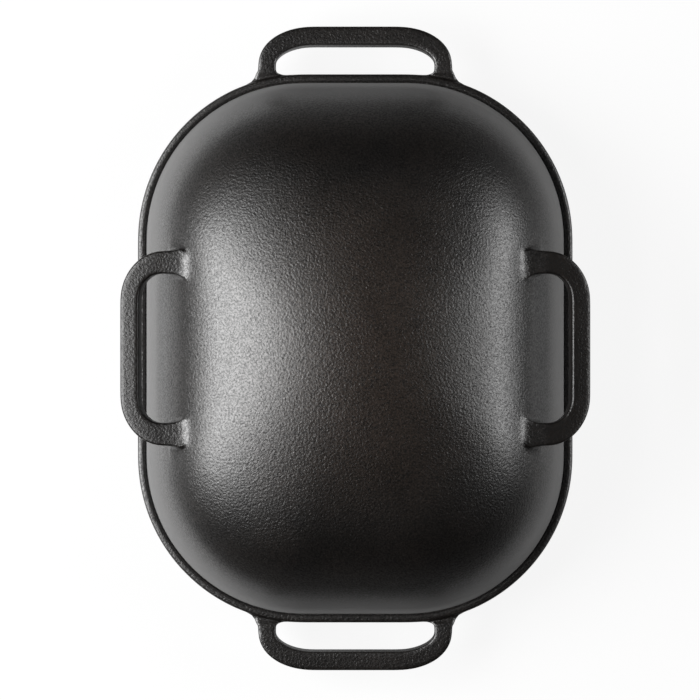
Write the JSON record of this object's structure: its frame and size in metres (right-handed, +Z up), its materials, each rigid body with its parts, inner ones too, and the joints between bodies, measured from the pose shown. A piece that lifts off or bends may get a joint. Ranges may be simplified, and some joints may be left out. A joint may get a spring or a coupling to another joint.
{
  "type": "covered bread pan",
  "caption": "Shallow cast iron pan with end loop handles and a deep domed cover with side loop handles, for baking a loaf in its own steam.",
  "frame": {"origin": "middle of the base pan's flat foot, which is also the bottom centre of the whole part's box", "axes": "+Z up, +Y along the length through the base pan's two handles, +X across through the cover's two handles"},
  "size_m": [0.2848, 0.3968, 0.1292],
  "materials": {
    "base_iron": "oven-seasoned black, satin over a fine pebbled casting skin",
    "cover_iron": "oven-seasoned black, satin over a fine pebbled casting skin"
  },
  "bodies": {
    "base": {"base_pan": "base_iron"},
    "cover": {"cover": "cover_iron"}
  },
  "joints": [
    {"name": "cover_lift", "type": "slide", "parent": "base", "child": "cover", "axis": [0, 0, 1], "range_m": [0, 0.15]}
  ]
}
